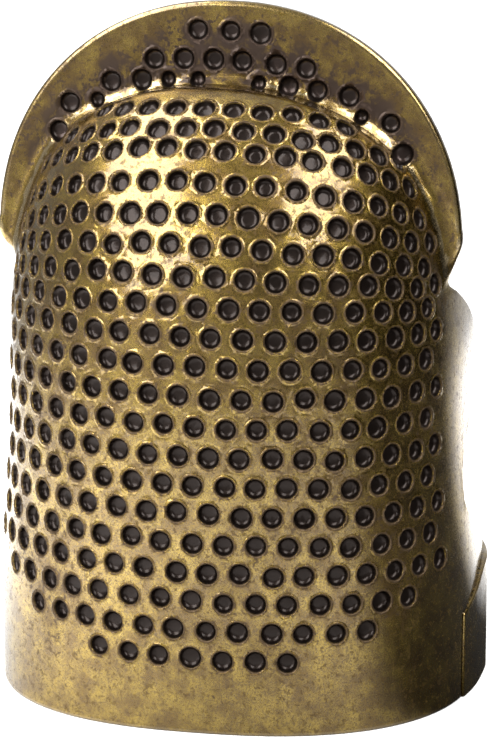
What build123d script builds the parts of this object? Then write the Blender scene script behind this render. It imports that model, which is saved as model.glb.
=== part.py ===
from build123d import *
import os
from math import copysign, cos, pi, radians, sin

os.makedirs("parts", exist_ok=True)

# Driving dimensions, millimetres. The rim rests on z = 0, the dimpled front faces -Y.
half_width = 8.65          # outer face of the side walls
half_depth = 8.05          # outer face of the front wall
sheet = 0.45               # thickness of the stamped sheet
roundness = 2.4            # exponent of the oval section, 2 would be an ellipse
waist = 0.38               # how much each side wall leans in on its way up
waist_start = 4.0
waist_end = 11.0
wall_sections = 3          # loft sections from waist_start up to taper_start
taper_start = 8.0          # height where the walls begin to draw in to the dome
dome_height = 14.6         # from taper_start to the closed top of the full oval dome
dome_exponent = 3.8        # how late the dome turns over
dome_sections = 12         # loft sections up the dome
dome_top_share = 0.992     # the loft stops just short of the dome's closed top
oval_points = 28           # spline points round one section

flange_front = -2.9        # front face of the standing flange, also the rear end of the dome
flange_half_width = 8.25
flange_middle = 16.3       # height where the flange is widest
flange_height = 8.4        # from there to its top
flange_roundness = 2.12
flange_foot = 15.5         # lowest level of the flange's two tips
tip_corner = 1.4           # height of the corner cut off each tip

# The ring band runs all the way round the back. Angles go round from the front, over the right.
band_height = 4.2
slit_start = 148           # end of the right arm
slit_end = 160             # end of the left arm's own ring, where its tongue carries on
tongue_root = 185          # where the tongue leaves the ring
tongue_root_inset = 0.4    # how deep the root lies inside the ring's outer face
tongue_end = 77            # where the tongue ends, lapped over the right arm
tongue_thickness = 0.36
tongue_tip_thickness = 0.2
tongue_taper = 20          # degrees over which the tongue thins to its tip
tongue_corner_drop = 1.8   # the tip's top corner slants down this far
tongue_corner_run = 4.8    # over this length
tongue_corner_end = 0.8    # from this y, where it leaves the top edge
lap_settle = 20            # degrees over which the tongue sinks into the pocket
pocket_start = 76          # the right arm is pressed in under the tongue
pocket_depth = 0.2
lap_gap = 0.05             # clear space between the tongue and the pocket's floor
strip_steps = 24

# Side view of the walls' rear edges, as (y, z): round the ear, then down a hollow to the band.
ear_edge = [(flange_front + sheet, 15.35), (-2.5, 15.1), (-1.4, 14.5), (0, 13.8), (1.6, 12.8),
            (2.3, 11.6), (1.7, 10.6), (0.2, 9.9), (-1.2, 9.1), (-1.8, 8.1), (-1.8, 7.2)]
hollow_edge = [(-1.8, 7.2), (-1.3, 6.6), (-0.5, 6.0), (0.6, 5.3), (1.8, 4.7), (3.2, band_height)]

reach = 20                 # cutting solids run this far out from the axis
skim = 0.01                # and this little past a face they share with the part
cut_offset = 1.0           # cut strips reach this far either side of the sheet's outer face


def signed_power(value, exponent):
    return copysign(abs(value) ** exponent, value)


def round_point(angle, width, height, exponent):
    """A point of a superellipse; 0 degrees is up the second axis, 90 along the first."""
    along = width * signed_power(sin(radians(angle)), 2 / exponent)
    up = height * signed_power(cos(radians(angle)), 2 / exponent)
    return along, up


def oval_point(angle, offset=0.0):
    """A point of the oval; 0 degrees is the front, 90 the right, offset moves it outwards."""
    x, forward = round_point(angle, half_width + offset, half_depth + offset, roundness)
    return x, -forward


def lean(height):
    """How far each side wall has leant in at this height."""
    share = min(1.0, max(0.0, (height - waist_start) / (waist_end - waist_start)))
    return waist * share * share * (3 - 2 * share)


def oval_scale(height):
    """How much smaller the oval is at this height than at the rim."""
    rise = max(0.0, (height - taper_start) / dome_height)
    return (1 - rise**dome_exponent) ** (1 / roundness)


def oval_wire(height, inset):
    """Spline points of the body's section at a height of its outer face."""
    scale = oval_scale(height)
    width = (half_width - lean(height)) * scale - inset
    depth = half_depth * scale - inset
    angles = [i * 360 / oval_points for i in range(oval_points)]
    return [round_point(a, width, depth, roundness) for a in angles]


def oval_body(inset):
    """The oval tube with its dome, as a solid, inset from the outer face."""
    wall_step = (taper_start - waist_start) / wall_sections
    wall_heights = [waist_start + i * wall_step for i in range(wall_sections)]
    dome_shares = [dome_top_share * sin(i / dome_sections * pi / 2) for i in range(dome_sections + 1)]
    with BuildPart() as body:
        with BuildSketch():
            with BuildLine():
                Spline(*oval_wire(0, inset), periodic=True)
            make_face()
        extrude(amount=waist_start)
        for height in wall_heights:
            with BuildSketch(Plane.XY.offset(height)):
                with BuildLine():
                    Spline(*oval_wire(height, inset), periodic=True)
                make_face()
        for share in dome_shares:
            with BuildSketch(Plane.XY.offset(taper_start + share * (dome_height - inset))):
                with BuildLine():
                    Spline(*oval_wire(taper_start + share * dome_height, inset), periodic=True)
                make_face()
        loft()
    return body.part


def rear_cutter():
    """Everything behind the side walls' rear edges: the nail opening and the gaps round the ears."""
    top = ear_edge[0]
    bottom = hollow_edge[-1]
    with BuildPart() as cutter:
        with BuildSketch(Plane.YZ.offset(-reach)):
            with BuildLine():
                Line((top[0], 2 * reach), top)
                Spline(*ear_edge)
                Spline(*hollow_edge)
                Polyline(bottom, (reach, bottom[1]), (reach, 2 * reach), (top[0], 2 * reach))
            make_face()
        extrude(amount=2 * reach)
    return cutter.part


def strip(start, end, outer, inner, height):
    """A strip bent round the oval; outer and inner give the offset of each face at an angle."""
    angles = [start + (end - start) * i / strip_steps for i in range(strip_steps + 1)]
    outside = [oval_point(a, outer(a)) for a in angles]
    inside = [oval_point(a, inner(a)) for a in angles]
    with BuildPart() as bent:
        with BuildSketch():
            with BuildLine():
                Spline(*outside)
                Line(outside[-1], inside[-1])
                Spline(*reversed(inside))
                Line(inside[0], outside[0])
            make_face()
        extrude(amount=height)
    return bent.part


def tongue_inner(angle):
    """Offset of the tongue's inner face: inside the ring at its root, on the pocket at its end."""
    on_ring = lap_gap
    if angle > slit_end:
        return on_ring - (tongue_root_inset + on_ring) * (angle - slit_end) / (tongue_root - slit_end)
    return on_ring - pocket_depth * min(1.0, (slit_end - angle) / lap_settle)


def tongue_outer(angle):
    """Offset of the tongue's outer face; the sheet thins towards the tip."""
    thin = max(0.0, 1 - (angle - tongue_end) / tongue_taper)
    return tongue_inner(angle) + tongue_thickness - thin * (tongue_thickness - tongue_tip_thickness)


def band_cut(start, end, inner):
    """A strip that cuts the band from its outer face inwards to an offset."""
    return strip(start, end, lambda angle: cut_offset, lambda angle: inner, band_height)


def corner_wedge(gap):
    """The space over the tongue's slanted top corner, starting this gap above the slant."""
    top = band_height + skim + gap
    front = tongue_corner_end - tongue_corner_run
    with BuildPart() as wedge:
        with BuildSketch(Plane.YZ):
            with BuildLine():
                Polyline((front, top - tongue_corner_drop), (tongue_corner_end, top), (front, top),
                         close=True)
            make_face()
        extrude(amount=2 * half_width)
    return wedge.part


def tongue():
    """The left arm's end: it leaves the ring at the back and laps over the right arm."""
    with BuildPart() as lap:
        add(strip(tongue_end, tongue_root, tongue_outer, tongue_inner, band_height))
        add(corner_wedge(0), mode=Mode.SUBTRACT)
    return lap.part


def pocket():
    """What the right arm loses so that the tongue can lie in it."""
    with BuildPart() as hollow:
        add(band_cut(pocket_start, slit_start + 1, -pocket_depth))
        add(corner_wedge(lap_gap), mode=Mode.SUBTRACT)
    return hollow.part


def flange():
    """The lip standing up behind the dome, a plate with an arched outline round the oval arch."""
    outline = [round_point(i * 360 / oval_points, flange_half_width, flange_height, flange_roundness)
               for i in range(oval_points)]
    below = flange_foot - tip_corner
    with BuildPart() as lip:
        with BuildSketch(Plane.XZ.offset(-flange_front)):
            with BuildLine(Location((0, flange_middle))):
                Spline(*outline, periodic=True)
            make_face()
            with Locations((0, flange_foot - flange_height)):
                Rectangle(4 * half_width, 2 * flange_height, mode=Mode.SUBTRACT)
            for side in (-1, 1):
                edge = side * flange_half_width
                cut = side * (flange_half_width - tip_corner / 2)
                with BuildLine():
                    Polyline((edge, flange_foot + tip_corner), (edge, below), (cut, below),
                             (cut, flange_foot), close=True)
                make_face(mode=Mode.SUBTRACT)
        extrude(amount=-sheet)
        add(oval_body(sheet), mode=Mode.SUBTRACT)
    return lip.part


with BuildPart() as shell:
    add(oval_body(0))
    add(oval_body(sheet), mode=Mode.SUBTRACT)
    add(rear_cutter(), mode=Mode.SUBTRACT)
    add(flange())
    # slit and pocket of the right arm, then the tongue that covers them
    add(band_cut(slit_start, slit_end, -cut_offset), mode=Mode.SUBTRACT)
    add(pocket(), mode=Mode.SUBTRACT)
    add(tongue())

# The origin is the middle of the bottom rim's outline box, standing on z = 0.
middle = shell.part.bounding_box().center()
shell.part.move(Location((-middle.X, -middle.Y, 0)))
shell.part.label = "thimble_shell"
export_step(shell.part, "parts/thimble_shell.step")
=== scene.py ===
import math

import bpy
import numpy as np
from mathutils import Matrix, Vector


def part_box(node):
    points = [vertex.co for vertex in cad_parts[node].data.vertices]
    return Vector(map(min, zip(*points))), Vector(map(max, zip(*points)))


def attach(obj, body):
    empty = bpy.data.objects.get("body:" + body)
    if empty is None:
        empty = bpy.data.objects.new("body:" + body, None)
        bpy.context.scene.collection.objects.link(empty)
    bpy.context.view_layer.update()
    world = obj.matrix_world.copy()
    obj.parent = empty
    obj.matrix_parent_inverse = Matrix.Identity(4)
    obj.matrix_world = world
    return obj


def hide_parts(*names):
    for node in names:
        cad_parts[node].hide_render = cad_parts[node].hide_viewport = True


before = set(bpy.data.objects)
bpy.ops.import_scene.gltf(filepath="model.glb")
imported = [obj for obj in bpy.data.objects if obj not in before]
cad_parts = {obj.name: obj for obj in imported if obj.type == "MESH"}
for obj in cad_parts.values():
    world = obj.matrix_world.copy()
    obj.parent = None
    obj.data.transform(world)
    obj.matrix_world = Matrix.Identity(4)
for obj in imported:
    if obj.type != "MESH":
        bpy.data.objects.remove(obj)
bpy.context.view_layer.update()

# ---------------------------------------------------------------- the object's shape, in millimetres
MM = 0.001
NODE = "thimble_shell"
low, high = (np.array(corner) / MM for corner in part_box(NODE))
BOX_CLEAR = 0.001          # the skin stays this far inside the CAD part's box

HALF_WIDTH = 8.65          # outer face of the side walls
HALF_DEPTH = 8.05          # outer face of the front wall
SHEET = 0.45               # thickness of the stamped sheet
ROUNDNESS = 2.4            # exponent of the oval section
WAIST = 0.38               # how much each side wall leans in on its way up
WAIST_SPAN = (4.0, 11.0)
TAPER_START = 8.0          # height where the walls begin to draw in to the dome
DOME_HEIGHT = 14.6
DOME_EXPONENT = 3.8        # how late the dome turns over
EDGE_ROUND = 0.2           # rounding of the sheet's cut edges
CENTRE = np.array([low[0] + HALF_WIDTH, low[1] + HALF_DEPTH, low[2]])
TOP = high[2] - low[2]

FLANGE_FRONT = -2.9
FLANGE_BACK = FLANGE_FRONT + SHEET
FLANGE_HALF_WIDTH = 8.25
FLANGE_HEIGHT = 8.38       # from where it is widest to its top
FLANGE_ROUNDNESS = 2.12
FLANGE_Z = TOP - 8.4       # height where it is widest
FLANGE_ROUND = 0.25        # rounding of its arched edge
FLANGE_FOOT = 15.55        # lowest level of its two tips
FOOT_LEAN = 0.03           # the right tip reaches a little lower
FOOT_ROUND = 0.5
TIP_START = 7.85           # the corner cut off each tip starts this far out
TIP_OUT, TIP_UP = 0.82, 0.57            # the way that cut faces
TIP_ROUND = 0.6

# The ledge is the flat strip that bridges the dome and the flange.
LEDGE_FRONT = 4.0          # how far ahead of the axis it starts, in the middle
LEDGE_FADE = (3.2, 7.4)    # it runs out into the dome's side between these distances from the middle
LEDGE_LEAN = 0.024         # its right end lies lower
LEDGE_LIFT = 0.3           # it runs out of the wall again below the dome
LEDGE_LIFT_FADE = (16.0, 18.5)
LEDGE_ROUND = 0.12
LEDGE_STRIP = 0.25         # width of the flat strip in the corner between ledge and flange
STRIP_FADE = (5.6, 7.0)    # towards the sides a round fillet takes over
SIDE_FILLET = 0.7

# The ring band. Angles are degrees round from the front, over the right.
BAND_HEIGHT = 4.2
SLIT = (148, 160)
SLIT_ROUND = 0.1
TONGUE_ROOT = 185          # where the tongue leaves the ring
ROOT_INSET = 0.4           # how deep the root lies inside the ring's outer face
TONGUE_END = 77
TONGUE_THICKNESS = 0.36
TONGUE_TIP = 0.2           # its thickness at the end
TONGUE_TAPER = 20          # degrees over which it thins
TONGUE_ROUND = 0.12
POCKET_START = 76.8        # the right arm is pressed in under the tongue
POCKET_DEPTH = 0.2
POCKET_ROUND = 0.04
LAP_GAP = 0.05             # clear space between the tongue and the pocket's floor
LAP_SETTLE = 20            # degrees over which the tongue sinks into the pocket
CORNER_Y = -4.0            # at this y the tongue's slanted top corner is
CORNER_DROP = 1.7          # this far below the band's top,
CORNER_SLOPE = 0.354       # and it rises towards the back
CORNER_COSINE = 0.943
CORNER_ROUND = 0.5
CORNER_GAP = 0.04          # clear space over the slant

# Side view of the walls' rear edges, as (y, z): round the ear, then down a hollow to the band.
EAR_EDGE = [(FLANGE_BACK, 15.35), (-2.5, 15.1), (-1.4, 14.5), (0, 13.8), (1.6, 12.8), (2.3, 11.6),
            (1.7, 10.6), (0.2, 9.9), (-1.2, 9.1), (-1.8, 8.1), (-1.8, 7.2)]
HOLLOW_EDGE = [(-1.8, 7.2), (-1.3, 6.6), (-0.5, 6.0), (0.6, 5.3), (1.8, 4.7), (3.2, BAND_HEIGHT)]
FAR = 30.0                 # well outside the thimble
REAR_STEP = 0.04           # grid of the distances to these edges
REAR_LOW = (-12.0, -2.0)
REAR_HIGH = (12.0, 27.0)

# The dimples' lattice. Row numbers fall with height.
DIMPLE_PITCH = 1.12        # along a row
ROW_PITCH = 1.02
ROW_ZERO = 11.9            # height of row 0 in the middle
ROWS = range(9, -11, -1)
CROWN_ROW = -8             # the rows past this one lie on the crown of the dome
CROWN_ROW_PITCH = 0.61     # in height
ODD_REACH, EVEN_REACH = 8, 8.5          # columns on each side of the middle
SHORT_ROWS = {9: 3, 8: 5.5, 7: 7, -10: 4.5}
ROW_SQUEEZE = 0.05         # how much closer the dimples stand on the dome
SQUEEZE_SPAN = (15, 19)
DROOP = 0.6                # how far the dome's rows bend down towards the sides
DROOP_SPAN = (13.0, 20.0)
DROOP_REACH, DROOP_LIMIT = 5.5, 1.6
PATTERN_LEAN = 0.02        # the pattern is struck a little askew
LEAN_REACH = 8
SITE_SPREAD = 0.025        # spreads of the random differences between dimples
RADIUS_SPREAD = 0.03
DEPTH_SPREAD = 0.08
REAR_CLEAR = 0.75          # no dimple lies closer than this to the rear edges
FLANGE_CLEAR = (16.5, -3.35)            # nor, above this height, further back than this
FLANGE_ROWS = [            # height of each row on the flange, and its dimples' places from the middle
    (23.67, [-1.0, 0.15, 1.2]),
    (22.66, [-2.55, -1.5, -0.45, 0.55, 1.75, 2.8]),
    (21.97, [-4.1, -3.0, -2.05, -1.0, 1.15, 2.2, 3.2, 4.3]),
    (21.38, [-5.6, -4.6, 4.75, 5.75]),
    (20.45, [-6.0, 6.2]),
]
FLANGE_ROW_LEAN, FLANGE_ROW_CURVE = 0.033, 0.017
FLANGE_DEPTH_SHARE = 0.85
SMALL_DIMPLES = (-4.6, -2.05, -1.0, 1.15, 4.75)      # the flange's ones that the ledge crowds
SMALL_BELOW = 22.3
SMALL_SHARE = 0.7

# One dimple.
DIMPLE_RADIUS = 0.36
DIMPLE_FLARE = 0.25        # how fast it widens outwards
DIMPLE_FLARE_TOP = 0.1     # up to this height over the sheet
DIMPLE_FLOOR = 0.13        # rounding between its wall and its floor
DIMPLE_DEPTH = 0.27
DIMPLE_LIP = 0.05          # rounding of its mouth
BUMP_RADIUS = 0.42         # the small bump behind it, on the sheet's inner face
BUMP_SINK = 0.28           # how far the bump's centre lies outside that face
BUMP_BLEND = 0.15

VOXEL = 0.08
TRIANGLES = 198_000
GRID_MARGIN = 0.4
SLAB = 12                  # grid layers worked out at a time
DIMPLE_MARGIN = 0.14       # how far past its radius a dimple is worked out
DIMPLE_MIDDLE = 0.1        # how deep the middle of that block lies
FINE_STEP, COARSE_STEP = 0.02, 0.05     # steps of the numerical gradients

# What the material is told about each point.
PIT_DEPTH = 0.25           # this deep a point is fully inside a dimple
BEND_REACH = 0.09          # bends are measured over this distance
INNER_DEPTH, INNER_TURN = 0.3, 0.2
FLANGE_STAIN = (0.1, 0.5)  # the stain grows over this distance from the body
STAIN_MARGIN = (0.1, 1.2)  # and over this distance from the flange's edge
EDGE_STAIN = 0.3           # its share left at that edge
# the ledge's flat strip, which gets a painted highlight, lies within these distances
LEDGE_SKIM, LEDGE_REACH = 0.03, 0.5
LEDGE_SHADE_MIDDLE, LEDGE_SHADE_REACH = -0.3, 1.3     # a stretch of the ledge's strip near its middle with painted shade instead of the painted highlight
SEAM_DEGREES = 2           # half width of the zone along the tongue's end
SEAM_WIDTH = 0.25          # and along its slanted corner
SEAM_MIDDLE, SEAM_REACH = 88, 13
SEAM_ABOVE = 0.1


def smooth_max(a, b, radius):
    blend = np.clip(0.5 + 0.5 * (a - b) / radius, 0, 1)
    return b + (a - b) * blend + radius / 2 * blend * (1 - blend)


def smooth_min(a, b, radius):
    return -smooth_max(-a, -b, radius)


def chamfer_min(a, b, width):
    """The union of two solids with a flat 45 degree strip in the corner between them."""
    return np.minimum(np.minimum(a, b), (a + b - width) * math.sqrt(0.5))


def smooth_step(value, start, end):
    t = np.clip((value - start) / (end - start), 0, 1)
    return t * t * (3 - 2 * t)


def outer_face(x, y, z):
    """Signed distance to the body's outer face: the oval wall, the dome and the ledge under the flange."""
    width = HALF_WIDTH - WAIST * smooth_step(z, *WAIST_SPAN)
    u, v = np.abs(x) / width, np.abs(y) / HALF_DEPTH
    w = np.maximum(z - TAPER_START, 0) / DOME_HEIGHT
    pu, pv, pw = u ** (ROUNDNESS - 1), v ** (ROUNDNESS - 1), w ** (DOME_EXPONENT - 1)
    gx, gy, gz = ROUNDNESS * pu / width, ROUNDNESS * pv / HALF_DEPTH, DOME_EXPONENT * pw / DOME_HEIGHT
    total = np.maximum(u * pu + v * pv + w * pw, 1e-6)
    steep = ROUNDNESS * (total - total ** (1 - 1 / ROUNDNESS))
    body = steep / np.maximum(np.sqrt(gx**2 + gy**2 + gz**2), 1e-4)
    # on the axis below the dome the gradient vanishes; that is simply deep inside
    body = np.where(total < 0.02, -HALF_DEPTH / 2, body)
    start = 1 - (LEDGE_FRONT / HALF_DEPTH) ** ROUNDNESS
    end = 1 - (-FLANGE_FRONT / HALF_DEPTH) ** ROUNDNESS
    level = start + (end - start) * smooth_step(np.abs(x), *LEDGE_FADE)
    level = level + LEDGE_LIFT * (1 - smooth_step(z, *LEDGE_LIFT_FADE)) - LEDGE_LEAN * x * gz
    ledge = (u * pu + w * pw - level) / np.maximum(np.sqrt(gx**2 + gz**2), 0.05)
    return smooth_max(body, ledge, LEDGE_ROUND)


def smooth_line(knots, steps=14):
    """A smooth curve through the knots (Catmull-Rom)."""
    p = np.array([knots[0], *knots, knots[-1]], float)
    t = np.linspace(0, 1, steps, endpoint=False)[:, None]
    spans = [0.5 * (2 * b + (c - a) * t + (2 * a - 5 * b + 4 * c - d) * t**2
                    + (3 * b - a - 3 * c + d) * t**3)
             for a, b, c, d in zip(p[:-3], p[1:-2], p[2:-1], p[3:])]
    return np.concatenate([*spans, p[-1:]])


def rear_profile():
    """The side walls' rear edge in side view, as (y, z), from the flange down to the ring band."""
    ear, hollow = smooth_line(EAR_EDGE), smooth_line(HOLLOW_EDGE)
    return np.concatenate([[(FLANGE_BACK, FAR)], ear, hollow[1:], [(FAR, BAND_HEIGHT)]])


def rear_table():
    """Signed distance in side view to the rear profile, negative on the metal's side, on a fine grid."""
    y = np.arange(REAR_LOW[0], REAR_HIGH[0], REAR_STEP)[:, None]
    z = np.arange(REAR_LOW[1], REAR_HIGH[1], REAR_STEP)[None, :]
    line = rear_profile()
    best = np.full((y.shape[0], z.shape[1]), 1e9)
    cut = np.zeros(best.shape, bool)
    for (ay, az), (by, bz) in zip(line[:-1], line[1:]):
        dy, dz = by - ay, bz - az
        t = np.clip(((y - ay) * dy + (z - az) * dz) / (dy * dy + dz * dz), 0, 1)
        best = np.minimum(best, (y - ay - t * dy) ** 2 + (z - az - t * dz) ** 2)
        if bz != az:
            cut ^= ((az > z) != (bz > z)) & (y > ay + (z - az) / (bz - az) * dy)
    return np.where(cut & (z > BAND_HEIGHT), 1, -1) * np.sqrt(best)


REAR = rear_table()


def rear_face(y, z):
    """The rear table read at any point."""
    fy = np.clip((y - REAR_LOW[0]) / REAR_STEP, 0, REAR.shape[0] - 1.001)
    fz = np.clip((z - REAR_LOW[1]) / REAR_STEP, 0, REAR.shape[1] - 1.001)
    i, j = fy.astype(np.int32), fz.astype(np.int32)
    a, b = fy - i, fz - j
    return ((1 - a) * (1 - b) * REAR[i, j] + a * (1 - b) * REAR[i + 1, j]
            + (1 - a) * b * REAR[i, j + 1] + a * b * REAR[i + 1, j + 1])


def plan(x, y):
    """The oval in plan: offset from the wall's outer face, and degrees round (90 right, 270 left)."""
    u, v = np.abs(x) / HALF_WIDTH, np.abs(y) / HALF_DEPTH
    r = np.maximum(u**ROUNDNESS + v**ROUNDNESS, 1e-6) ** (1 / ROUNDNESS)
    slope = np.hypot((u / r) ** (ROUNDNESS - 1) / HALF_WIDTH, (v / r) ** (ROUNDNESS - 1) / HALF_DEPTH)
    right, forward = np.sign(x) * u ** (ROUNDNESS / 2), -np.sign(y) * v ** (ROUNDNESS / 2)
    return (r - 1) / slope, np.mod(np.degrees(np.arctan2(right, forward)), 360)


def lap_corner(y, z):
    """Distance above the slanted corner at the tongue's tip."""
    return (z - BAND_HEIGHT + CORNER_DROP - CORNER_SLOPE * (y - CORNER_Y)) * CORNER_COSINE


def band_parts(x, y, z):
    """Signed distances to the tongue, and to what is cut from the ring for it: the slit and the pocket."""
    offset, angle = plan(x, y)
    per_degree = math.radians(1) * (HALF_WIDTH + HALF_DEPTH) / 2
    below = z - BAND_HEIGHT
    slit = np.maximum((np.abs(angle - sum(SLIT) / 2) - (SLIT[1] - SLIT[0]) / 2) * per_degree, below)
    arm_middle, arm_half = (POCKET_START + SLIT[0]) / 2, (SLIT[0] + 1 - POCKET_START) / 2
    pocket = np.maximum((np.abs(angle - arm_middle) - arm_half) * per_degree, below)
    corner = lap_corner(y, z)
    pocket = np.maximum(np.maximum(pocket, corner - CORNER_GAP), -(offset + POCKET_DEPTH))
    lapped, root = LAP_GAP - POCKET_DEPTH, -ROOT_INSET
    settled = np.clip((SLIT[1] - angle) / LAP_SETTLE, 0, 1)
    rise = np.clip((angle - SLIT[1]) / (TONGUE_ROOT - SLIT[1]), 0, 1)
    face = LAP_GAP + (lapped - LAP_GAP) * settled + (root - LAP_GAP) * rise
    grown = np.clip((angle - TONGUE_END) / TONGUE_TAPER, 0, 1)
    thick = TONGUE_TIP + (TONGUE_THICKNESS - TONGUE_TIP) * grown
    ends = np.abs(angle - (TONGUE_END + TONGUE_ROOT) / 2) - (TONGUE_ROOT - TONGUE_END) / 2
    top = smooth_max(below, corner, CORNER_ROUND)
    tongue = smooth_max(np.abs(offset - face - thick / 2) - thick / 2, top, TONGUE_ROUND)
    return smooth_max(tongue, ends * per_degree, TONGUE_ROUND), slit, pocket


def plain_shell(x, y, z):
    """Signed distances to the whole shell without its dimples, and to the body's outer face."""
    face = outer_face(x, y, z)
    keep = rear_face(y, z)
    u, w = np.abs(x) / FLANGE_HALF_WIDTH, np.abs(z - FLANGE_Z) / FLANGE_HEIGHT
    reach = np.maximum(u**FLANGE_ROUNDNESS + w**FLANGE_ROUNDNESS, 1e-6) ** (1 / FLANGE_ROUNDNESS)
    disc = (reach - 1) * (FLANGE_HALF_WIDTH + FLANGE_HEIGHT) / 2
    lip = np.abs(y - (FLANGE_FRONT + FLANGE_BACK) / 2) - SHEET / 2
    tip = TIP_OUT * (np.abs(x) - TIP_START) - TIP_UP * (z - FLANGE_FOOT)
    foot = smooth_max(FLANGE_FOOT - FOOT_LEAN * x - z, tip, TIP_ROUND)
    lip = smooth_max(smooth_max(lip, disc, FLANGE_ROUND), foot, FOOT_ROUND)
    body = smooth_max(face, keep, EDGE_ROUND)
    sides = smooth_step(np.abs(x), *STRIP_FADE)
    outside = (1 - sides) * chamfer_min(body, lip, LEDGE_STRIP) + sides * smooth_min(body, lip, SIDE_FILLET)
    shell = smooth_max(outside, -(face + SHEET), EDGE_ROUND)
    shell = smooth_max(shell, -z, EDGE_ROUND)
    tongue, slit, pocket = band_parts(x, y, z)
    shell = smooth_max(smooth_max(shell, -slit, SLIT_ROUND), -pocket, POCKET_ROUND)
    return np.minimum(shell, tongue), face


# ---------------------------------------------------------------- the dimples
def oval_arc():
    """Arc length along the front of the oval, and the oval's points there, from the middle to the right."""
    a = np.radians(np.linspace(0, 150, 1500))
    x = HALF_WIDTH * np.abs(np.sin(a)) ** (2 / ROUNDNESS)
    y = -HALF_DEPTH * np.sign(np.cos(a)) * np.abs(np.cos(a)) ** (2 / ROUNDNESS)
    along = np.concatenate([[0], np.cumsum(np.hypot(np.diff(x), np.diff(y)))])
    return along, x, y


ARC, ARC_X, ARC_Y = oval_arc()


def on_body(along, z):
    """The point of the outer face at this height and this far along its oval from the front."""
    rise = max(0.0, z - TAPER_START) / DOME_HEIGHT
    scale = max(1e-3, 1 - rise**DOME_EXPONENT) ** (1 / ROUNDNESS)
    narrow = 1 - WAIST * smooth_step(z, *WAIST_SPAN) / HALF_WIDTH
    x = np.interp(abs(along) / scale, ARC, ARC_X) * scale * narrow * np.sign(along)
    return np.array([x, np.interp(abs(along) / scale, ARC, ARC_Y) * scale, z])


def gradient(function, points, step):
    """Numerical gradient of a distance function at an N x 3 array of points."""
    out = np.empty_like(points)
    for axis in range(3):
        shift = np.zeros(3)
        shift[axis] = step
        out[:, axis] = function(*(points + shift).T) - function(*(points - shift).T)
    return out / (2 * step)


def body_columns(row):
    """The columns of a row on the body; odd rows sit on whole numbers, even rows between them."""
    reach = SHORT_ROWS.get(row, ODD_REACH if row % 2 else EVEN_REACH)
    return np.arange(-reach, reach + 0.1)


def body_sites(rng):
    """The dimples' centres on the walls and the dome."""
    sites = []
    for row in ROWS:
        middle = (ROW_ZERO - ROW_PITCH * max(row, CROWN_ROW)
                  + CROWN_ROW_PITCH * max(0, CROWN_ROW - row))
        narrow = 1 - ROW_SQUEEZE * smooth_step(middle, *SQUEEZE_SPAN)
        for column in body_columns(row):
            along = column * DIMPLE_PITCH * narrow + PATTERN_LEAN * (middle - TOP / 2)
            droop = DROOP * smooth_step(middle, *DROOP_SPAN) * min(along / DROOP_REACH, DROOP_LIMIT) ** 2
            z = middle - droop - PATTERN_LEAN * max(-LEAN_REACH, min(LEAN_REACH, along))
            shift = rng.normal(0, SITE_SPREAD, 2)
            point = on_body(along + shift[0], z + shift[1])
            near_rear = rear_face(point[1:2], point[2:3])[0] > -REAR_CLEAR
            near_flange = z > FLANGE_CLEAR[0] and point[1] > FLANGE_CLEAR[1]
            if not near_rear and not near_flange:
                sites.append(point)
    return np.array(sites)


def flange_sites():
    """The dimples' centres on the flange, in rows that arch with it."""
    return np.array([(x, FLANGE_FRONT, z - FLANGE_ROW_LEAN * x - FLANGE_ROW_CURVE * x * x)
                     for z, places in FLANGE_ROWS for x in places])


def dimple_sites():
    """Every dimple's centre, outward direction, radius and depth."""
    rng = np.random.default_rng(11)
    body = body_sites(rng)
    flange = flange_sites()
    centres = np.concatenate([body, flange])
    forward = np.tile([0.0, -1.0, 0.0], (len(flange), 1))
    outward = np.concatenate([gradient(outer_face, body, FINE_STEP), forward])
    outward /= np.linalg.norm(outward, axis=1)[:, None]
    radii = DIMPLE_RADIUS * rng.normal(1, RADIUS_SPREAD, len(centres))
    depths = DIMPLE_DEPTH * rng.normal(1, DEPTH_SPREAD, len(centres))
    depths[-len(flange):] *= FLANGE_DEPTH_SHARE
    small = np.isin(flange[:, 0], SMALL_DIMPLES) & (flange[:, 2] < SMALL_BELOW)
    radii[-len(flange):] *= np.where(small, SMALL_SHARE, 1)
    return centres, outward, radii, depths


SITES, OUTWARD, RADII, DEPTHS = dimple_sites()


def dimpled(shell, x, y, z, site):
    """The shell's distance with the dimple of this number struck into it, and its small bump inside."""
    dx, dy, dz = (a - SITES[site, i] for i, a in enumerate((x, y, z)))
    height = dx * OUTWARD[site, 0] + dy * OUTWARD[site, 1] + dz * OUTWARD[site, 2]
    across = np.sqrt(np.maximum(dx * dx + dy * dy + dz * dz - height * height, 0))
    radius = RADII[site] + DIMPLE_FLARE * np.minimum(height, DIMPLE_FLARE_TOP)
    a, b = across - radius + DIMPLE_FLOOR, -height - DEPTHS[site] + DIMPLE_FLOOR
    punch = np.hypot(np.maximum(a, 0), np.maximum(b, 0)) + np.minimum(np.maximum(a, b), 0) - DIMPLE_FLOOR
    bump = np.sqrt(across**2 + (height + SHEET - BUMP_SINK) ** 2) - BUMP_RADIUS
    bump = np.maximum(bump, height)
    return smooth_max(smooth_min(shell, bump, BUMP_BLEND), -punch, DIMPLE_LIP)


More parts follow.
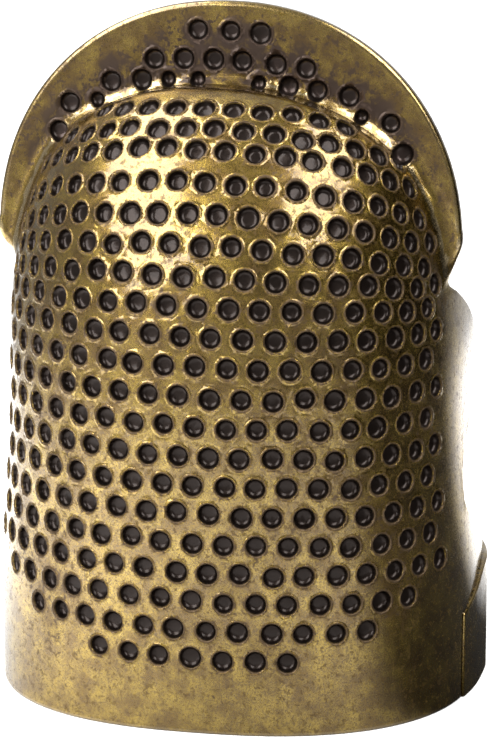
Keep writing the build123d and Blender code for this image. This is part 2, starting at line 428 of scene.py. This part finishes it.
# ---------------------------------------------------------------- meshing
def sample_shell():
    """The shell's distance on a voxel grid, and the number of the dimple near each voxel."""
    start = low - CENTRE - GRID_MARGIN
    counts = np.ceil((high - low + 2 * GRID_MARGIN) / VOXEL).astype(int)
    axes = [start[i] + VOXEL * np.arange(counts[i]) for i in range(3)]
    values = np.empty(counts, np.float32)
    ys, zs = np.meshgrid(axes[1], axes[2], indexing="ij")
    for first in range(0, counts[0], SLAB):
        xs = axes[0][first:first + SLAB, None, None]
        values[first:first + SLAB] = plain_shell(xs, ys[None], zs[None])[0]
    site = np.full(counts, -1, np.int16)
    nearest = np.full(counts, 1e9, np.float32)
    reach = int(math.ceil((DIMPLE_RADIUS + DIMPLE_MARGIN) / VOXEL))
    for number, centre in enumerate(SITES):
        middle = np.round((centre - DIMPLE_MIDDLE * OUTWARD[number] - start) / VOXEL).astype(int)
        block = tuple(slice(max(0, m - reach), m + reach + 1) for m in middle)
        grid = np.meshgrid(*(axes[i][block[i]] for i in range(3)), indexing="ij")
        values[block] = dimpled(values[block], *grid, number)
        away = sum((axis - centre[i]) ** 2 for i, axis in enumerate(grid))
        closer = away < nearest[block]
        site[block][closer] = number
        nearest[block][closer] = away[closer]
    return start, values, site


def surface_net(start, values):
    """Vertices and four-sided faces of the zero surface of a voxel grid."""
    inside = values < 0
    cells = np.zeros(tuple(n - 1 for n in values.shape), np.int8)
    corners = [(i, j, k) for i in (0, 1) for j in (0, 1) for k in (0, 1)]
    shape = cells.shape
    for i, j, k in corners:
        cells += inside[i:i + shape[0], j:j + shape[1], k:k + shape[2]]
    active = np.argwhere((cells > 0) & (cells < len(corners)))
    index = np.full(shape, -1, np.int32)
    index[tuple(active.T)] = np.arange(len(active))
    total = np.zeros((len(active), 3))
    hits = np.zeros(len(active))
    for a in corners:
        for axis in range(3):
            if a[axis]:
                continue
            b = tuple(c + (n == axis) for n, c in enumerate(a))
            va, vb = values[tuple((active + a).T)], values[tuple((active + b).T)]
            crossed = (va < 0) != (vb < 0)
            t = va[crossed] / (va[crossed] - vb[crossed])
            place = np.tile(np.array(a, float), (crossed.sum(), 1))
            place[:, axis] += t
            total[crossed] += place
            hits[crossed] += 1
    vertices = start + VOXEL * (active + total / hits[:, None])
    faces = []
    for axis in range(3):
        b, c = (axis + 1) % 3, (axis + 2) % 3
        near = [slice(1, -1)] * 3
        near[axis] = slice(0, -1)
        far = list(near)
        far[axis] = slice(1, None)
        crossed = inside[tuple(near)] != inside[tuple(far)]
        place = np.argwhere(crossed)
        place[:, b] += 1
        place[:, c] += 1
        ring = []
        for db, dc in ((0, 0), (1, 0), (1, 1), (0, 1)):
            cell = place.copy()
            cell[:, b] -= db
            cell[:, c] -= dc
            ring.append(index[tuple(cell.T)])
        quad = np.stack(ring, 1)
        outward = inside[tuple(near)][crossed]
        quad[~outward] = quad[~outward, ::-1]
        faces.append(quad)
    return vertices, np.concatenate(faces)


def exact_shell(x, y, z, site):
    """The shell with dimples at scattered points, given the dimple near each."""
    value, _ = plain_shell(x, y, z)
    near = np.flatnonzero(site >= 0)
    value[near] = dimpled(value[near], x[near], y[near], z[near], site[near])
    return value


def near_site(points, start, site):
    """The number of the dimple near each point, -1 where there is none."""
    cell = np.round((points - start) / VOXEL).astype(int)
    cell = np.clip(cell, 0, np.array(site.shape) - 1)
    return site[tuple(cell.T)]


def settle(points, start, site, rounds):
    """Moves points onto the exact surface; returns them with their normals and dimple numbers."""
    for _ in range(rounds):
        near = near_site(points, start, site)
        slope = gradient(lambda x, y, z: exact_shell(x, y, z, near), points, FINE_STEP)
        size = np.maximum((slope**2).sum(1), 0.2)
        value = exact_shell(*points.T, near)
        points = points - np.clip(value / size, -VOXEL / 2, VOXEL / 2)[:, None] * slope
    near = near_site(points, start, site)
    slope = gradient(lambda x, y, z: exact_shell(x, y, z, near), points, FINE_STEP)
    return points, slope / np.maximum(np.linalg.norm(slope, axis=1), 1e-6)[:, None], near


def wear_and_painted_light(points, normals, near):
    """What the material reads at each point: place in a dimple, bend, inner face, flange staining and rim;
    the bend also carries a painted highlight on the ledge's strip, the flange staining a stretch of painted
    shade there, and the inner face painted shade.
    """
    x, y, z = points.T
    plain, face = plain_shell(x, y, z)
    dimple = near >= 0
    pit = np.where(dimple, np.clip(-plain / PIT_DEPTH, 0, 1), 0)

    steps = [s * BEND_REACH * np.eye(3)[i] for i in range(3) for s in (-1, 1)]
    around = sum(exact_shell(*(points + step).T, near) for step in steps)
    bend = (around - len(steps) * exact_shell(*points.T, near)) / BEND_REACH
    rim = np.where(dimple, np.clip(bend, 0, 1), 0)
    bend = np.where(dimple, np.minimum(bend, 0), bend)

    out = gradient(outer_face, points, COARSE_STEP)
    inner = ((normals * out).sum(1) < -INNER_TURN) & (face < -INNER_DEPTH)

    u, w = np.abs(x) / FLANGE_HALF_WIDTH, np.abs(z - FLANGE_Z) / FLANGE_HEIGHT
    margin = (1 - np.hypot(u, w)) * FLANGE_HEIGHT
    share = EDGE_STAIN + (1 - EDGE_STAIN) * smooth_step(margin, *STAIN_MARGIN)
    lip = smooth_step(face, *FLANGE_STAIN) * share

    # no bright line where the tongue meets the ring
    _, angle = plan(x, y)
    slant = (np.abs(lap_corner(y, z)) < SEAM_WIDTH) & (np.abs(angle - SEAM_MIDDLE) < SEAM_REACH)
    seam = (np.abs(angle - TONGUE_END) < SEAM_DEGREES) | slant
    seam &= (z < BAND_HEIGHT + SEAM_ABOVE) & ~inner
    bend = np.where(seam, np.minimum(bend, 0), bend)

    # the ledge's flat strip gets a painted highlight (pale rubbed brass), but for a stretch near its middle
    # that gets painted shade (the flange's dark oxide colour)
    ledge = (face > LEDGE_SKIM) & (face < LEDGE_STRIP)
    ledge &= (y < FLANGE_FRONT - LEDGE_SKIM) & (y > FLANGE_FRONT - LEDGE_REACH)
    ledge_shade = ledge & (np.abs(x - LEDGE_SHADE_MIDDLE) < LEDGE_SHADE_REACH)
    ledge &= ~ledge_shade
    lip = np.where(ledge, 0, np.where(ledge_shade, 1, lip))
    bend = np.where(ledge, 1.0, np.where(ledge_shade, 0, bend))
    return {"pit": pit, "bend": bend, "inner": inner, "lip": lip, "rim": rim}


def new_mesh(name, vertices, faces):
    mesh = bpy.data.meshes.new(name)
    corners = faces.shape[1]
    mesh.vertices.add(len(vertices))
    mesh.vertices.foreach_set("co", vertices.ravel())
    mesh.loops.add(faces.size)
    mesh.loops.foreach_set("vertex_index", faces.ravel().astype(np.int32))
    mesh.polygons.add(len(faces))
    mesh.polygons.foreach_set("loop_start", np.arange(len(faces), dtype=np.int32) * corners)
    mesh.update(calc_edges=True)
    return mesh


def thinned(mesh, triangles):
    """The mesh brought down to about this many triangles, keeping its curved places fine."""
    scratch = bpy.data.objects.new("scratch", mesh)
    bpy.context.scene.collection.objects.link(scratch)
    modifier = scratch.modifiers.new("thin", "DECIMATE")
    modifier.ratio = min(1, triangles / (2 * len(mesh.polygons)))
    evaluated = scratch.evaluated_get(bpy.context.evaluated_depsgraph_get())
    result = bpy.data.meshes.new_from_object(evaluated)
    bpy.data.objects.remove(scratch)
    bpy.data.meshes.remove(mesh)
    return result


def build_shell():
    """The skin: the sampled shell as a mesh, thinned, settled on the exact surface and given the values its
    material reads, for rubbing, staining and painted light and shade.
    """
    start, values, site = sample_shell()
    vertices, faces = surface_net(start, values)
    vertices, _, _ = settle(vertices, start, site, 1)
    mesh = thinned(new_mesh("full", vertices, faces), TRIANGLES)
    mesh.name = "thimble_skin"
    points = np.empty(len(mesh.vertices) * 3)
    mesh.vertices.foreach_get("co", points)
    points, normals, near = settle(points.reshape(-1, 3), start, site, 2)
    placed = np.clip(points + CENTRE, low + BOX_CLEAR, high - BOX_CLEAR) * MM
    mesh.vertices.foreach_set("co", placed.ravel())
    for name, data in wear_and_painted_light(points, normals, near).items():
        attribute = mesh.attributes.new(name, "FLOAT", "POINT")
        attribute.data.foreach_set("value", np.asarray(data, np.float32))
    mesh.polygons.foreach_set("use_smooth", np.ones(len(mesh.polygons), bool))
    mesh.update()
    mesh.normals_split_custom_set_from_vertices([tuple(n) for n in normals])
    skin = bpy.data.objects.new("thimble_skin", mesh)
    bpy.context.scene.collection.objects.link(skin)
    return skin


skin = build_shell()
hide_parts(NODE)
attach(skin, "root")


# ---------------------------------------------------------------- material
BRASS_DEEP, BRASS_BRIGHT = (0.24, 0.142, 0.02, 1), (0.52, 0.35, 0.052, 1)
BRASS_GRAIN = (0.13, 0.08, 0.032, 1)
# pale rubbed brass of the bends, also the painted highlight on the ledge's strip
BRASS_WORN_AND_HIGHLIGHT = (0.70, 0.56, 0.34, 1)
# the flange's dark colour also paints the shade on the ledge's middle stretch
PATINA, PATINA_FLANGE_AND_LEDGE_SHADE = (0.10, 0.066, 0.036, 1), (0.048, 0.031, 0.024, 1)
# the dimples' walls: near-black oxide with painted shade
PIT_WALL_PATINA_AND_SHADE, PIT_FLOOR = (0.02, 0.013, 0.01, 1), (0.055, 0.037, 0.031, 1)
DRAG = 0.12                # the drag marks run up and down, this much slower along z
BUMP_HEIGHT = 0.008 * MM
IN_PIT, ON_PIT_FLOOR = (0.03, 0.3), (0.8, 1.0)


class Nodes:
    """Short names for building a node tree."""

    def __init__(self, tree):
        self.tree = tree

    def add(self, kind, inputs=(), **settings):
        node = self.tree.nodes.new(kind)
        for name, value in settings.items():
            setattr(node, name, value)
        for name, value in dict(inputs).items():
            if isinstance(value, bpy.types.NodeSocket):
                self.tree.links.new(value, node.inputs[name])
            else:
                node.inputs[name].default_value = value
        return node

    def math(self, operation, a, b=0.0, clamp=False):
        return self.add("ShaderNodeMath", {0: a, 1: b}, operation=operation, use_clamp=clamp).outputs[0]

    def span(self, value, a, b, c=0.0, d=1.0):
        """Maps a..b smoothly to c..d."""
        inputs = {"Value": value, "From Min": a, "From Max": b, "To Min": c, "To Max": d}
        return self.add("ShaderNodeMapRange", inputs, interpolation_type="SMOOTHSTEP").outputs[0]

    def mix(self, factor, a, b):
        inputs = {"Factor": factor, 6: a, 7: b}
        return self.add("ShaderNodeMix", inputs, data_type="RGBA", clamp_factor=True).outputs[2]

    def times(self, vector, factors):
        inputs = {0: vector, 1: factors}
        return self.add("ShaderNodeVectorMath", inputs, operation="MULTIPLY").outputs[0]

    def noise(self, vector, scale, detail, rough, offset=0.0):
        place = self.add("ShaderNodeVectorMath", {0: vector, 1: (offset, offset * 1.7, -offset)}).outputs[0]
        inputs = {"Vector": place, "Scale": scale, "Detail": detail, "Roughness": rough}
        return self.add("ShaderNodeTexNoise", inputs).outputs[0]

    def value(self, name):
        return self.add("ShaderNodeAttribute", attribute_name=name,
                        attribute_type="GEOMETRY").outputs["Fac"]


def antique_brass():
    """Mottled, grained brass, rubbed pale on its bends, with brown oxide in the hollows and a thin lacquer.
    Painted light and shade: a painted highlight on the ledge's strip with a stretch of painted shade near its
    middle, painted shade on the inner face, and painted shade deepening the dimples' walls to near black.
    """
    material = bpy.data.materials.new("antique_brass_skin")
    material.use_nodes = True
    tree = material.node_tree
    tree.nodes.clear()
    n = Nodes(tree)
    place = n.add("ShaderNodeTexCoord").outputs["Object"]
    mm = n.times(place, (1 / MM, 1 / MM, 1 / MM))
    broad = n.noise(mm, 0.28, 3, 0.5)
    cloud = n.noise(mm, 1.3, 5, 0.6, 3.1)
    speck = n.noise(mm, 5.0, 4, 0.65, 7.7)
    grain = n.noise(mm, 16.0, 3, 0.6, 1.9)
    drag = n.noise(n.times(mm, (1.0, 1.0, DRAG)), 9.0, 3, 0.6, 5.3)
    pit, bend, inner, lip, rim = (n.value(name) for name in ("pit", "bend", "inner", "lip", "rim"))

    brass = n.mix(n.span(cloud, 0.35, 0.68), BRASS_DEEP, BRASS_BRIGHT)
    brass = n.mix(n.span(grain, 0.40, 0.66, 0, 0.7), brass, BRASS_GRAIN)
    # pale rubbing on the bends, and the painted highlight on the ledge's strip
    worn_and_highlight = n.span(bend, 0.3, 1.0)
    brass = n.mix(n.math("MULTIPLY", worn_and_highlight, 0.6), brass, BRASS_WORN_AND_HIGHLIGHT)

    stain_and_shade = n.span(broad, 0.48, 0.72, 0, 0.4)
    stain_and_shade = n.math("ADD", stain_and_shade, n.span(speck, 0.53, 0.64, 0, 0.6))
    stain_and_shade = n.math("ADD", stain_and_shade, n.span(drag, 0.6, 0.72, 0, 0.25))
    # the flange's staining, also painted shade on the ledge's middle stretch
    stain_and_shade = n.math("ADD", stain_and_shade, n.math("MULTIPLY", lip, n.span(cloud, 0.62, 0.4, 0.45, 1.0)))
    # painted shade on the sheet's inner face
    stain_and_shade = n.math("ADD", stain_and_shade, n.math("MULTIPLY", inner, 0.35))
    stain_and_shade = n.math("ADD", stain_and_shade, n.span(bend, -0.1, -0.8, 0, 0.35))
    stain_and_shade = n.math("ADD", stain_and_shade, n.math("MULTIPLY", rim, 1.2))
    stain_and_shade = n.math("SUBTRACT", stain_and_shade, n.math("MULTIPLY", worn_and_highlight, 0.9))
    # the dimples' walls: dark oxide with painted shade
    stain_and_shade = n.math("MAXIMUM", stain_and_shade, n.span(pit, *IN_PIT), clamp=True)
    patina_and_shade = n.mix(n.math("MULTIPLY", lip, 0.9), PATINA, PATINA_FLANGE_AND_LEDGE_SHADE)
    patina_and_shade = n.mix(n.span(pit, *IN_PIT), patina_and_shade, PIT_WALL_PATINA_AND_SHADE)
    patina_and_shade = n.mix(n.span(pit, *ON_PIT_FLOOR), patina_and_shade, PIT_FLOOR)

    rough = n.math("ADD", n.span(grain, 0.3, 0.7, 0.17, 0.3), n.math("MULTIPLY", stain_and_shade, 0.12))
    rough = n.math("ADD", rough, n.math("MULTIPLY", rim, 0.25))
    height = n.math("ADD", speck, n.math("MULTIPLY", grain, 0.5))
    bump = {"Height": height, "Strength": 0.5, "Distance": BUMP_HEIGHT}
    coat = n.math("MULTIPLY", n.span(rim, 0.1, 0.5, 1.0, 0.2), n.span(stain_and_shade, 0.1, 0.8, 1.0, 0.15))
    shader = n.add("ShaderNodeBsdfPrincipled", {
        "Base Color": n.mix(stain_and_shade, brass, patina_and_shade),
        "Metallic": n.span(stain_and_shade, 0.0, 1.0, 1.0, 0.85),
        "Roughness": rough,
        "Normal": n.add("ShaderNodeBump", bump).outputs[0],
        "Coat Weight": coat,
        "Coat Roughness": 0.13,
        "Coat IOR": 1.65,
    })
    output = n.add("ShaderNodeOutputMaterial")
    tree.links.new(shader.outputs[0], output.inputs["Surface"])
    return material


skin.data.materials.append(antique_brass())

# ---------------------------------------------------------------- stage, lights and camera
TARGET = Vector(CENTRE * MM) + Vector((0, 0, 11.0 * MM))
CAMERA_DISTANCE = 110 * MM
CAMERA_SIDE, CAMERA_LIFT = 12, 13       # degrees to the right and up
BOX_DISTANCE = 0.25        # of the soft boxes, metres
FLOOR_SIZE = 3.0
FLOOR_TONE = 0.9           # to the camera
FLOOR_SHADE, SHADE_FADE = 0.55, (0.010, 0.028)       # the floor that the foot of the object mirrors
FLOOR_NEAR, FLOOR_FAR, FLOOR_FADE = 0.56, 0.11, (0.035, 0.075)
WORLD_TONE = 1.0           # to the camera, and as fill light
WORLD_GLOSS = 0.16         # in reflections
DARK_SIDE = 113            # degrees round from the front to the middle of the dark side


def toward(azimuth, elevation):
    """Unit vector; azimuth 0 is the front (-Y), 90 the right (+X)."""
    a, e = math.radians(azimuth), math.radians(elevation)
    return Vector((math.sin(a) * math.cos(e), -math.cos(a) * math.cos(e), math.sin(e)))


def aim(thing, position, target):
    thing.location = position
    thing.rotation_euler = (target - position).to_track_quat("-Z", "Y").to_euler()


def soft_box(name, side, lift, length, width, radiance):
    """A long soft box running over the object from front to back, seen side (its sine) off the middle
    and centred lift degrees up from the front."""
    spread = math.sqrt(1 - side * side)
    a = math.radians(lift)
    out = Vector((side, -spread * math.cos(a), spread * math.sin(a)))
    along = Vector((0, math.sin(a), math.cos(a)))
    light = bpy.data.lights.new(name, "AREA")
    light.shape = "RECTANGLE"
    light.size, light.size_y = width, length
    light.energy = radiance * math.pi * width * length
    thing = bpy.data.objects.new(name, light)
    thing.visible_camera = False
    bpy.context.scene.collection.objects.link(thing)
    across = along.cross(out).normalized()
    turn = Matrix((across, out.cross(across), out)).transposed().to_4x4()
    thing.matrix_world = Matrix.Translation(TARGET + out * BOX_DISTANCE) @ turn


def studio_side(n, vector):
    """What reflections see round the object: a dark side on the right, brighter on the left and behind."""
    flat = n.times(vector, (1, 1, 0))
    way = n.add("ShaderNodeVectorMath", {0: flat}, operation="NORMALIZE").outputs[0]
    part = n.add("ShaderNodeSeparateXYZ", {0: way})
    right = n.add("ShaderNodeVectorMath", {0: way, 1: toward(DARK_SIDE, 0)}, operation="DOT_PRODUCT")
    dark = n.span(right.outputs["Value"], 0.28, 0.68)
    left = n.span(part.outputs[0], 0.1, -0.9, 0.92, 1.9)
    behind = n.span(part.outputs[1], 0.55, 0.98, 0, 2.6)
    lit = n.math("SUBTRACT", 1.0, n.math("MULTIPLY", dark, 0.95))
    return n.math("ADD", n.math("MULTIPLY", left, lit), behind)


def glossy_or(n, mirrored, plain):
    """One level in reflections, another, plain one for everything else."""
    glossy = n.add("ShaderNodeLightPath").outputs["Is Glossy Ray"]
    return n.math("ADD", n.math("MULTIPLY", glossy, n.math("SUBTRACT", mirrored, plain)), plain)


def stage_floor():
    """A pale floor that looks darker in the object's reflections."""
    floor = bpy.data.meshes.new("floor")
    sides = [(-1, -1), (1, -1), (1, 1), (-1, 1)]
    corners = [Vector((x * FLOOR_SIZE, y * FLOOR_SIZE, low[2] * MM)) for x, y in sides]
    floor.from_pydata(corners, [], [(0, 1, 2, 3)])
    thing = bpy.data.objects.new("floor", floor)
    bpy.context.scene.collection.objects.link(thing)
    material = bpy.data.materials.new("floor")
    material.use_nodes = True
    n = Nodes(material.node_tree)
    shader = material.node_tree.nodes["Principled BSDF"]
    place = n.add("ShaderNodeTexCoord").outputs["Object"]
    away = n.add("ShaderNodeVectorMath", {0: place}, operation="LENGTH").outputs["Value"]
    near = n.span(away, *SHADE_FADE, FLOOR_SHADE, 1.0)
    seen = n.math("MULTIPLY", near, n.span(away, *FLOOR_FADE, FLOOR_NEAR, FLOOR_FAR))
    seen = n.math("MULTIPLY", seen, studio_side(n, place))
    tone = glossy_or(n, seen, FLOOR_TONE)
    grey = n.add("ShaderNodeCombineColor", {0: tone, 1: tone, 2: tone}).outputs[0]
    material.node_tree.links.new(grey, shader.inputs["Base Color"])
    shader.inputs["Roughness"].default_value = 0.9
    shader.inputs["Specular IOR Level"].default_value = 0.1
    floor.materials.append(material)


def studio_world():
    """White to the camera and as fill light; a dimmer studio with a darker right side in reflections."""
    world = bpy.data.worlds.new("studio")
    world.use_nodes = True
    bpy.context.scene.world = world
    n = Nodes(world.node_tree)
    background = world.node_tree.nodes["Background"]
    direction = n.add("ShaderNodeTexCoord").outputs["Generated"]
    studio = n.math("MULTIPLY", studio_side(n, direction), WORLD_GLOSS)
    level = glossy_or(n, studio, WORLD_TONE)
    world.node_tree.links.new(level, background.inputs["Strength"])
    background.inputs["Color"].default_value = (1, 1, 1, 1)


def place_camera():
    data = bpy.data.cameras.new("camera")
    data.lens = 147.2
    data.clip_start = 0.005
    data.shift_x = 0.0014
    camera = bpy.data.objects.new("camera", data)
    bpy.context.scene.collection.objects.link(camera)
    aim(camera, TARGET + toward(CAMERA_SIDE, CAMERA_LIFT) * CAMERA_DISTANCE, TARGET)
    bpy.context.scene.camera = camera


stage_floor()
studio_world()
soft_box("left_box", side=-0.54, lift=57, length=0.50, width=0.14, radiance=6.8)
soft_box("right_box", side=0.53, lift=62, length=0.32, width=0.12, radiance=6.4)
place_camera()
bpy.context.scene.view_settings.view_transform = "Standard"
